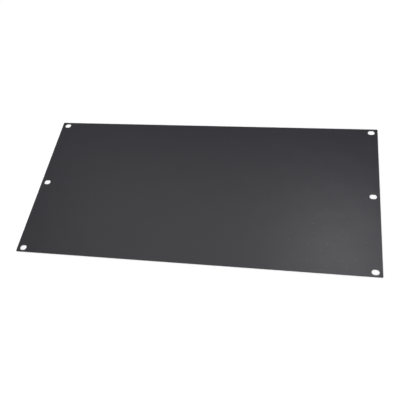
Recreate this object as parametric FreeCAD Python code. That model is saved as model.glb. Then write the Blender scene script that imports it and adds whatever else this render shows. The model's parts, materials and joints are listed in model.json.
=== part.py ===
import FreeCAD, Part
import os

# Rack blanking panel: one flat sheet of steel, punched and powder coated, that closes off
# unused units of a 19-inch equipment rack. X runs across the rack, Y up the rack and Z out of
# the front face. The origin is the middle of the rear face.

# Driving dimensions in millimetres. Each can be changed by itself.
UNIT_HEIGHT = 44.45        # one rack unit, up the rack
UNIT_COUNT = 5             # rack units that the panel closes off
HEIGHT_RELIEF = 0.8        # how much lower the panel is than its units, so that it clears its neighbours
SIDE_MARGIN = 8.75         # from a slot's centre out to the panel's side
SHEET = 1.5                # thickness of the sheet, with its coat
CORNER_RADIUS = 1.2        # corners of the outline, seen from the front

SLOT_PITCH = 465.1         # between the two columns of slots, centre to centre
END_HOLE = 6.35            # from the edge of a rack unit to the centre of its outer rack hole
SLOT_WIDTH = 7.2           # up the rack, clear of an M6 screw
SLOT_PLAY = 2.3            # between the centres of a slot's two round ends, across the rack

FRONT_ROUND = 0.35         # edges that the punch rolled over, on the front face
REAR_BREAK = 0.15          # edges where the punch came out, deburred, on the rear face

# Sizes that follow from those above.
OPENING_HEIGHT = UNIT_COUNT * UNIT_HEIGHT
PANEL_HEIGHT = OPENING_HEIGHT - HEIGHT_RELIEF
PANEL_WIDTH = SLOT_PITCH + 2 * SIDE_MARGIN


def blank_sheet():
    """The sheet as it is cut out: a rectangle whose four corners are tangent arcs."""
    lower_left = FreeCAD.Vector(-PANEL_WIDTH / 2, -PANEL_HEIGHT / 2, 0)
    sheet = Part.makeBox(PANEL_WIDTH, PANEL_HEIGHT, SHEET, lower_left)
    corners = [edge for edge in sheet.Edges if edge.BoundBox.ZLength > SHEET / 2]
    return sheet.makeFillet(CORNER_RADIUS, corners)


def slot_centres():
    """Where the slots go: the outermost rack holes, and the middle hole of the middle unit."""
    end_row = OPENING_HEIGHT / 2 - END_HOLE
    middle_row = (UNIT_COUNT // 2 + 0.5) * UNIT_HEIGHT - OPENING_HEIGHT / 2
    return [FreeCAD.Vector(side * SLOT_PITCH / 2, row, 0)
            for row in (-end_row, middle_row, end_row)
            for side in (-1, 1)]


def slot_punch(centre):
    """One slot as the punch that cuts it: two straight sides joined by half circles."""
    radius = SLOT_WIDTH / 2
    reach = SLOT_PLAY / 2
    upper_right = centre + FreeCAD.Vector(reach, radius, 0)
    upper_left = centre + FreeCAD.Vector(-reach, radius, 0)
    lower_left = centre + FreeCAD.Vector(-reach, -radius, 0)
    lower_right = centre + FreeCAD.Vector(reach, -radius, 0)
    left_tip = centre + FreeCAD.Vector(-reach - radius, 0, 0)
    right_tip = centre + FreeCAD.Vector(reach + radius, 0, 0)
    profile = Part.Wire([
        Part.makeLine(upper_right, upper_left),
        Part.Arc(upper_left, left_tip, lower_left).toShape(),
        Part.makeLine(lower_left, lower_right),
        Part.Arc(lower_right, right_tip, upper_right).toShape(),
    ])
    return Part.Face(profile).extrude(FreeCAD.Vector(0, 0, SHEET))


def height_of(face):
    """How high a face of the panel lies above the rear face."""
    return face.CenterOfMass.z


def blanking_panel():
    """The punched sheet. Both rows of edges run round the outline and all the slots."""
    panel = blank_sheet()
    for centre in slot_centres():
        panel = panel.cut(slot_punch(centre))
    front_face = max(panel.Faces, key=height_of)
    panel = panel.makeFillet(FRONT_ROUND, front_face.Edges)
    rear_face = min(panel.Faces, key=height_of)
    return panel.makeChamfer(REAR_BREAK, rear_face.Edges)


os.makedirs("parts", exist_ok=True)
blanking_panel().exportStep("parts/blanking_panel.step")
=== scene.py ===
import bpy
import json
import math
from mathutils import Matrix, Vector


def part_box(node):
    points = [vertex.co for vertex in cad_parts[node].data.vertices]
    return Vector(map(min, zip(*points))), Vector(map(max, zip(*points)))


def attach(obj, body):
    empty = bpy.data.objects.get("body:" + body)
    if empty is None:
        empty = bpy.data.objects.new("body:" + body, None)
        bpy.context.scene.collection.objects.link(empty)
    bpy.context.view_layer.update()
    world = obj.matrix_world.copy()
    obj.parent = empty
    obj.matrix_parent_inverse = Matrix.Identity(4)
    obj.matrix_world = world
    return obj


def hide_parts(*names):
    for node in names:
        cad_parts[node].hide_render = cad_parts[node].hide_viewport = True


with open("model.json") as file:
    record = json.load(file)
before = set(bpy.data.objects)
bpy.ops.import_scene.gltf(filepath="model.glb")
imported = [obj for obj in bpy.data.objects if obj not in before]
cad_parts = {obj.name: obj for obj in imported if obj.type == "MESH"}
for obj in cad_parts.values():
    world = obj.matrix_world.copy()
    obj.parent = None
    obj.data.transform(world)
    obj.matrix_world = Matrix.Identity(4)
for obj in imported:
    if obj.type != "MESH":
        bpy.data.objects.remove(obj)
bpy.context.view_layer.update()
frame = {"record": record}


# The panel. One sheet of mild steel, cut to a rectangle, with oval slots punched near its short
# sides for the rack's screws. The punch rolls the front edges over, and the rear ones are
# deburred, so the tree sweeps one section of that edge round the outline and every slot.
MM = 0.001
PANEL = "blanking_panel"
SLOT_COLUMNS = 2
SLOT_ROWS = 3
CORNER_RADIUS = 1.2 * MM
FRONT_ROUND = 0.35 * MM
REAR_BREAK = 0.15 * MM
CORNER_STEPS = 10
SLOT_END_STEPS = 24
ROUND_POINTS = 7
WELD = 0.002 * MM
# A slot's end radius, as a share of its width. At a half, two of its points would fall together.
SLOT_END = 0.4999

# The coat's relief: how wide each of its features is, and how high. The nibs are grains of powder
# that never melted flat. A share of the cells of an even pattern has one.
GRAIN_WIDTH = 0.4 * MM
GRAIN_DEPTH = 0.02 * MM
PEEL_WIDTH = 2.4 * MM
PEEL_DEPTH = 0.05 * MM
SWAY_WIDTH = 28 * MM
SWAY_DEPTH = 0.25 * MM
NIB_WIDTH = 1.8 * MM
NIB_DEPTH = 0.1 * MM
NIB_SPACING = 13 * MM
NIB_SHARE = 0.25

# Light grey specks on the coat near one lower corner, fewer further from their middle.
LIGHT_SPECK_WIDTH = 1.1 * MM
LIGHT_SPECK_SPACING = 6 * MM
LIGHT_SPECK_SHARE = 0.2
LIGHT_SPECK_MIDDLE = (180 * MM, -87 * MM, 0)
LIGHT_SPECK_REACH = 72 * MM
LIGHT_SPECK_GREY = (0.25, 0.25, 0.26, 1)
LIGHT_SPECK_ROUGHNESS = 0.4

# The coat's finish: its black and its roughness, overall, in the grain's pits and on its tops.
BLACK = (0.0075, 0.0064, 0.0134, 1)
BLACK_IN_PITS = (0.0065, 0.0055, 0.0122, 1)
BLACK_ON_TOPS = (0.0085, 0.0073, 0.0146, 1)
ROUGHNESS = 0.36
ROUGHNESS_IN_PITS = 0.31
ROUGHNESS_ON_TOPS = 0.39
ROUGHNESS_SWAY = 0.02


def add_node(tree, kind, inputs=None, **settings):
    """A node with its settings. Each input is linked if it is a socket, and else set."""
    node = tree.nodes.new(kind)
    for name, value in settings.items():
        setattr(node, name, value)
    for name, value in (inputs or {}).items():
        if isinstance(value, bpy.types.NodeSocket):
            tree.links.new(value, node.inputs[name])
        else:
            node.inputs[name].default_value = value
    return node


def calculate(tree, operation, first, second):
    """What a Math node makes of two numbers."""
    return add_node(tree, "ShaderNodeMath", {0: first, 1: second}, operation=operation).outputs[0]


def join(tree, *parts):
    """Several geometries as one."""
    joined = add_node(tree, "GeometryNodeJoinGeometry")
    for part in reversed(parts):
        tree.links.new(part, joined.inputs[0])
    return joined.outputs[0]


def rounded_loop(tree, length, width, radius, steps):
    """A closed line round the origin: a rectangle with arcs for corners."""
    plain = add_node(tree, "GeometryNodeCurvePrimitiveQuadrilateral",
                     {"Width": length, "Height": width})
    return add_node(tree, "GeometryNodeFilletCurve",
                    {"Curve": plain.outputs[0], "Count": steps, "Radius": radius,
                     "Limit Radius": True}, mode="POLY").outputs[0]


def edge_section(tree, sheet, front_round, rear_break):
    """The sheet's edge cut across, from front to rear: rolled round, sheared wall, deburred break.
    A sweep turns this section's Y downwards, so heights are counted below zero here."""
    def point(inwards, height):
        return add_node(tree, "ShaderNodeCombineXYZ",
                        {"X": calculate(tree, "MULTIPLY", inwards, -1.0),
                         "Y": calculate(tree, "MULTIPLY", height, -1.0)}).outputs[0]

    wall_top = calculate(tree, "SUBTRACT", sheet, front_round)
    quarter = add_node(tree, "GeometryNodeCurveArc",
                       {"Resolution": ROUND_POINTS, "Radius": front_round,
                        "Start Angle": -math.pi / 2, "Sweep Angle": math.pi / 2})
    rolled = add_node(tree, "GeometryNodeTransform",
                      {"Geometry": quarter.outputs[0], "Translation": point(front_round, wall_top)})
    sheared = add_node(tree, "GeometryNodeCurvePrimitiveLine",
                       {"Start": point(0.0, wall_top), "End": point(0.0, rear_break)})
    deburred = add_node(tree, "GeometryNodeCurvePrimitiveLine",
                        {"Start": point(0.0, rear_break), "End": point(rear_break, 0.0)})
    return join(tree, rolled.outputs[0], sheared.outputs[0], deburred.outputs[0])


def flat_face(tree, edges, sheet, is_front):
    """The front or rear face, filled in between the open ends of the swept edges."""
    neighbours = add_node(tree, "GeometryNodeInputMeshEdgeNeighbors").outputs[0]
    height = add_node(tree, "ShaderNodeSeparateXYZ",
                      {0: add_node(tree, "GeometryNodeInputPosition").outputs[0]}).outputs["Z"]
    middle = calculate(tree, "MULTIPLY", sheet, 0.5)
    is_open = calculate(tree, "LESS_THAN", neighbours, 2.0)
    on_face = calculate(tree, "GREATER_THAN" if is_front else "LESS_THAN", height, middle)
    rims = add_node(tree, "GeometryNodeMeshToCurve",
                    {"Mesh": edges, "Selection": calculate(tree, "MULTIPLY", is_open, on_face)})
    filled = add_node(tree, "GeometryNodeFillCurve", {"Curve": rims.outputs[0]})
    if not is_front:
        return add_node(tree, "GeometryNodeFlipFaces", {"Mesh": filled.outputs[0]}).outputs[0]
    lift = add_node(tree, "ShaderNodeCombineXYZ", {"Z": sheet})
    return add_node(tree, "GeometryNodeSetPosition",
                    {"Geometry": filled.outputs[0], "Offset": lift.outputs[0]}).outputs[0]


def punched_panel(sizes, material):
    """The panel as a tree that draws it from its sizes, round the middle of its rear face."""
    tree = bpy.data.node_groups.new("punched panel", "GeometryNodeTree")
    tree.interface.new_socket("Panel", in_out="OUTPUT", socket_type="NodeSocketGeometry")
    for name in sizes:
        tree.interface.new_socket(name, in_out="INPUT", socket_type="NodeSocketFloat")
    size = add_node(tree, "NodeGroupInput").outputs

    section = edge_section(tree, size["Sheet"], size["Front Round"], size["Rear Break"])
    outline = rounded_loop(tree, size["Width"], size["Height"], size["Corner Radius"], CORNER_STEPS)
    outer_edge = add_node(tree, "GeometryNodeCurveToMesh",
                          {"Curve": outline, "Profile Curve": section})

    end_radius = calculate(tree, "MULTIPLY", size["Slot Width"], SLOT_END)
    slot = rounded_loop(tree, size["Slot Length"], size["Slot Width"], end_radius, SLOT_END_STEPS)
    slot_line = add_node(tree, "GeometryNodeReverseCurve", {"Curve": slot})
    slot_edge = add_node(tree, "GeometryNodeCurveToMesh",
                         {"Curve": slot_line.outputs[0], "Profile Curve": section})
    grid = add_node(tree, "GeometryNodeMeshGrid",
                    {"Size X": size["Slot Pitch"], "Size Y": size["Row Span"],
                     "Vertices X": SLOT_COLUMNS, "Vertices Y": SLOT_ROWS})
    punched = add_node(tree, "GeometryNodeInstanceOnPoints",
                       {"Points": grid.outputs[0], "Instance": slot_edge.outputs[0]})
    loose_edges = add_node(tree, "GeometryNodeRealizeInstances",
                           {"Geometry": join(tree, outer_edge.outputs[0], punched.outputs[0])})
    edges = add_node(tree, "GeometryNodeMergeByDistance",
                     {"Geometry": loose_edges.outputs[0], "Distance": WELD}).outputs[0]

    front = flat_face(tree, edges, size["Sheet"], True)
    rear = flat_face(tree, edges, size["Sheet"], False)
    closed = add_node(tree, "GeometryNodeMergeByDistance",
                      {"Geometry": join(tree, edges, front, rear), "Distance": WELD})
    smooth = add_node(tree, "GeometryNodeSetShadeSmooth", {"Geometry": closed.outputs[0]})
    plain = add_node(tree, "GeometryNodeRealizeInstances", {"Geometry": smooth.outputs[0]})
    coated = add_node(tree, "GeometryNodeSetMaterial",
                      {"Geometry": plain.outputs[0], "Material": material})
    add_node(tree, "NodeGroupOutput", {"Panel": coated.outputs[0]})
    return tree


def section_normals(mesh, sheet):
    """Which way the real surface faces at each point, so that flat faces shade dead flat.
    Only a point's height counts: it tells how far round the rolled edge or the break it lies."""
    normals = []
    for vertex in mesh.vertices:
        rolled = (vertex.co.z - sheet) / FRONT_ROUND + 1
        broken = 1 - vertex.co.z / REAR_BREAK
        upwards = min(max(rolled, 0), 1) - min(max(broken, 0), 1)
        outwards = Vector((vertex.normal.x, vertex.normal.y, 0)).normalized()
        normals.append(outwards * math.sqrt(1 - upwards ** 2) + Vector((0, 0, upwards)))
    return normals


def ripples(tree, place, width, detail):
    """Even, random ups and downs from 0 to 1, each about as wide as given."""
    return add_node(tree, "ShaderNodeTexNoise",
                    {"Vector": place, "Scale": 1 / width, "Detail": detail}).outputs["Fac"]


def scaled(tree, value, least, most):
    """A value from 0 to 1 spread over another range."""
    return add_node(tree, "ShaderNodeMapRange",
                    {"Value": value, "To Min": least, "To Max": most}).outputs[0]


def specks(tree, place, spacing, width, share):
    """Round spots, 1 in their middle and 0 at their rim, in a share of the cells of a pattern.
    The pattern is flat, so that every cell's middle lies on the sheet's faces."""
    cells = add_node(tree, "ShaderNodeTexVoronoi", {"Vector": place, "Scale": 1 / spacing},
                     voronoi_dimensions="2D")
    tint = add_node(tree, "ShaderNodeSeparateColor", {0: cells.outputs["Color"]}).outputs[0]
    has_spot = calculate(tree, "LESS_THAN", tint, share)
    radius_in_cells = width / 2 / spacing
    dome = add_node(tree, "ShaderNodeMapRange",
                    {"Value": cells.outputs["Distance"], "From Max": radius_in_cells,
                     "To Min": 1.0, "To Max": 0.0}, interpolation_type="SMOOTHSTEP").outputs[0]
    return calculate(tree, "MULTIPLY", dome, has_spot)


def light_specks(tree, place):
    """Where the light specks lie. Their share of the cells falls to none at their reach."""
    away = add_node(tree, "ShaderNodeVectorMath", {0: place, 1: LIGHT_SPECK_MIDDLE},
                    operation="DISTANCE").outputs["Value"]
    share = add_node(tree, "ShaderNodeMapRange",
                     {"Value": away, "From Max": LIGHT_SPECK_REACH, "To Min": LIGHT_SPECK_SHARE, "To Max": 0.0})
    return specks(tree, place, LIGHT_SPECK_SPACING, LIGHT_SPECK_WIDTH, share.outputs[0])


def satin_powder_coat():
    """Black polyester powder, baked on: satin, with a faint orange peel and a fine even grain.
    The shader's own black and roughness are the coat's averages, for where no node is read."""
    coat = bpy.data.materials.new("satin black powder coat")
    coat.use_nodes = True
    tree = coat.node_tree
    shader = tree.nodes["Principled BSDF"]
    shader.inputs["Base Color"].default_value = BLACK
    shader.inputs["Roughness"].default_value = ROUGHNESS

    place = add_node(tree, "ShaderNodeTexCoord").outputs["Object"]
    grain = ripples(tree, place, GRAIN_WIDTH, detail=2.0)
    peel = ripples(tree, place, PEEL_WIDTH, detail=1.0)
    sway = ripples(tree, place, SWAY_WIDTH, detail=1.0)
    # A Mix node that blends colours has them at inputs 6 and 7, and its result at output 2.
    pigment = add_node(tree, "ShaderNodeMix", {0: grain, 6: BLACK_IN_PITS, 7: BLACK_ON_TOPS},
                       data_type="RGBA")
    # Light grey specks, rougher than the coat, mixed over its black near one lower corner.
    specked = light_specks(tree, place)
    specked_pigment = add_node(tree, "ShaderNodeMix", {0: specked, 6: pigment.outputs[2], 7: LIGHT_SPECK_GREY},
                      data_type="RGBA")
    tree.links.new(specked_pigment.outputs[2], shader.inputs["Base Color"])
    uneven = calculate(tree, "ADD", scaled(tree, grain, ROUGHNESS_IN_PITS, ROUGHNESS_ON_TOPS),
                       scaled(tree, sway, 0.0, ROUGHNESS_SWAY))
    matt = calculate(tree, "ADD", uneven, scaled(tree, specked, 0.0, LIGHT_SPECK_ROUGHNESS))
    tree.links.new(matt, shader.inputs["Roughness"])

    nibs = specks(tree, place, NIB_SPACING, NIB_WIDTH, NIB_SHARE)
    fine = calculate(tree, "ADD", scaled(tree, grain, 0.0, GRAIN_DEPTH),
                     scaled(tree, peel, 0.0, PEEL_DEPTH))
    coarse = calculate(tree, "ADD", scaled(tree, sway, 0.0, SWAY_DEPTH),
                       scaled(tree, nibs, 0.0, NIB_DEPTH))
    # The heights are in metres already, so the bump takes them as they are.
    relief = add_node(tree, "ShaderNodeBump",
                      {"Height": calculate(tree, "ADD", fine, coarse), "Distance": 1.0})
    tree.links.new(relief.outputs[0], shader.inputs["Normal"])
    return coat


low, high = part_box(PANEL)
screw_slots = {mount["name"]: mount["dims"] for mount in frame["record"]["mounts"]}["corner_slots"]
panel_sizes = {
    "Width": high.x - low.x,
    "Height": high.y - low.y,
    "Sheet": high.z - low.z,
    "Slot Pitch": screw_slots["spacing_x_mm"] * MM,
    "Row Span": screw_slots["spacing_y_mm"] * MM,
    "Slot Length": screw_slots["slot_length_mm"] * MM,
    "Slot Width": 2 * screw_slots["hole_r_mm"] * MM,
    "Corner Radius": CORNER_RADIUS,
    "Front Round": FRONT_ROUND,
    "Rear Break": REAR_BREAK,
}
powder_coat = satin_powder_coat()
drawing = bpy.data.objects.new("panel drawing", bpy.data.meshes.new("panel drawing"))
bpy.context.scene.collection.objects.link(drawing)
punching = drawing.modifiers.new("punching", "NODES")
punching.node_group = punched_panel(panel_sizes, powder_coat)
for item in punching.node_group.interface.items_tree:
    if item.in_out == "INPUT":
        punching[item.identifier] = panel_sizes[item.name]
depsgraph = bpy.context.evaluated_depsgraph_get()
panel_mesh = bpy.data.meshes.new_from_object(drawing.evaluated_get(depsgraph))
bpy.data.objects.remove(drawing)
panel_mesh.normals_split_custom_set_from_vertices(section_normals(panel_mesh, high.z - low.z))
panel = bpy.data.objects.new("coated_panel", panel_mesh)
bpy.context.scene.collection.objects.link(panel)
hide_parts(PANEL)
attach(panel, "root")


# The table. A white paper sheet that the panel lies on, small enough for its edges to melt into
# the backdrop. Direct and mirrored views of it are lifted to white. The light that it gives the
# panel is only what falls on it.
TABLE_REACH = 0.5
TABLE_GAP = 0.02 * MM
TABLE_PAPER = (0.88, 0.88, 0.88, 1)
TABLE_LIFT = 0.3
WHITE = (1, 1, 1, 1)


def seen_in_gloss(tree, rays):
    """1 for what is seen by way of a glossy surface or through a clear one, and else 0."""
    return calculate(tree, "MAXIMUM", rays["Is Glossy Ray"], rays["Is Transmission Ray"])


table = bpy.data.materials.new("white table")
table.use_nodes = True
tree = table.node_tree
tree.nodes.clear()
paper = add_node(tree, "ShaderNodeBsdfDiffuse", {"Color": TABLE_PAPER})
rays = add_node(tree, "ShaderNodeLightPath").outputs
seen = calculate(tree, "MAXIMUM", rays["Is Camera Ray"], seen_in_gloss(tree, rays))
glow = add_node(tree, "ShaderNodeEmission",
                {"Color": WHITE, "Strength": calculate(tree, "MULTIPLY", seen, TABLE_LIFT)})
lifted = add_node(tree, "ShaderNodeAddShader", {0: paper.outputs[0], 1: glow.outputs[0]})
add_node(tree, "ShaderNodeOutputMaterial", {"Surface": lifted.outputs[0]})

corners = [(-TABLE_REACH, -TABLE_REACH), (TABLE_REACH, -TABLE_REACH),
           (TABLE_REACH, TABLE_REACH), (-TABLE_REACH, TABLE_REACH)]
table_mesh = bpy.data.meshes.new("table")
table_mesh.from_pydata([(x, y, low.z - TABLE_GAP) for x, y in corners], [], [(0, 1, 2, 3)])
table_mesh.materials.append(table)
table_top = bpy.data.objects.new("table", table_mesh)
bpy.context.scene.collection.objects.link(table_top)


# The studio. A pale room with three soft boxes: a wide one overhead towards the back, which the
# coat mirrors as its soft sheen, a small bright one beside it for the gleam, and a front fill.
# A white backdrop stands low all round. It shows as white, and lights the panel as the room does.
ROOM_LEVEL = 0.37
BACKDROP_LEVEL = 1.0
# How high a glossy surface still mirrors the backdrop, as sines of angles above the horizon.
BACKDROP_FADES = 0.05
BACKDROP_ENDS = 0.35

room = bpy.data.worlds.new("pale room")
bpy.context.scene.world = room
room.use_nodes = True
tree = room.node_tree
tree.nodes.clear()
rays = add_node(tree, "ShaderNodeLightPath").outputs
direction = add_node(tree, "ShaderNodeTexCoord").outputs["Generated"]
height = add_node(tree, "ShaderNodeSeparateXYZ", {0: direction}).outputs["Z"]
low_down = add_node(tree, "ShaderNodeMapRange",
                    {"Value": height, "From Min": BACKDROP_FADES, "From Max": BACKDROP_ENDS,
                     "To Min": 1.0, "To Max": 0.0}, interpolation_type="SMOOTHSTEP").outputs[0]
mirrored = calculate(tree, "MULTIPLY", low_down, seen_in_gloss(tree, rays))
seen = calculate(tree, "MAXIMUM", rays["Is Camera Ray"], mirrored)
walls = add_node(tree, "ShaderNodeBackground", {"Color": WHITE, "Strength": ROOM_LEVEL})
backdrop = add_node(tree, "ShaderNodeBackground", {"Color": WHITE, "Strength": BACKDROP_LEVEL})
air = add_node(tree, "ShaderNodeMixShader", {0: seen, 1: walls.outputs[0], 2: backdrop.outputs[0]})
add_node(tree, "ShaderNodeOutputWorld", {"Surface": air.outputs[0]})


def soft_box(name, place, aim, length, width, level, tint):
    """A rectangular lamp whose face is as bright as its level times a white surface in full light."""
    lamp = bpy.data.lights.new(name, "AREA")
    lamp.shape = "RECTANGLE"
    lamp.size = length
    lamp.size_y = width
    lamp.energy = level * math.pi * length * width
    lamp.color = tint
    holder = bpy.data.objects.new(name, lamp)
    holder.location = place
    holder.rotation_euler = (Vector(aim) - Vector(place)).to_track_quat("-Z", "Y").to_euler()
    bpy.context.scene.collection.objects.link(holder)


soft_box("sheen", place=(-0.43, 0.4, 1.2), aim=(-0.43, 0.4, 0),
         length=1.2, width=0.92, level=1.2, tint=(1, 1, 0.975))
soft_box("gleam", place=(0.326, 0.382, 1.2), aim=(0.326, 0.382, 0),
         length=0.285, width=0.47, level=6.5, tint=(0.96, 0.97, 1))
soft_box("front fill", place=(0.2, -1.6, 1.3), aim=(0, 0, 0),
         length=1.6, width=1.2, level=2.4, tint=(1, 1, 1))


# The camera. It looks down on the panel from in front and to the right, a little rolled. The
# lens is moved sideways on it, so that the panel lies in the middle of its view.
camera = bpy.data.cameras.new("camera")
camera.sensor_width = 36
camera.lens = 40.73
camera.shift_x = -0.083
tripod = bpy.data.objects.new("camera", camera)
tripod.location = (0.1469, -0.3086, 0.5343)
tripod.rotation_euler = [math.radians(angle) for angle in (29.471, 6.733, 6.925)]
bpy.context.scene.collection.objects.link(tripod)
bpy.context.scene.camera = tripod
bpy.context.scene.view_settings.view_transform = "Standard"
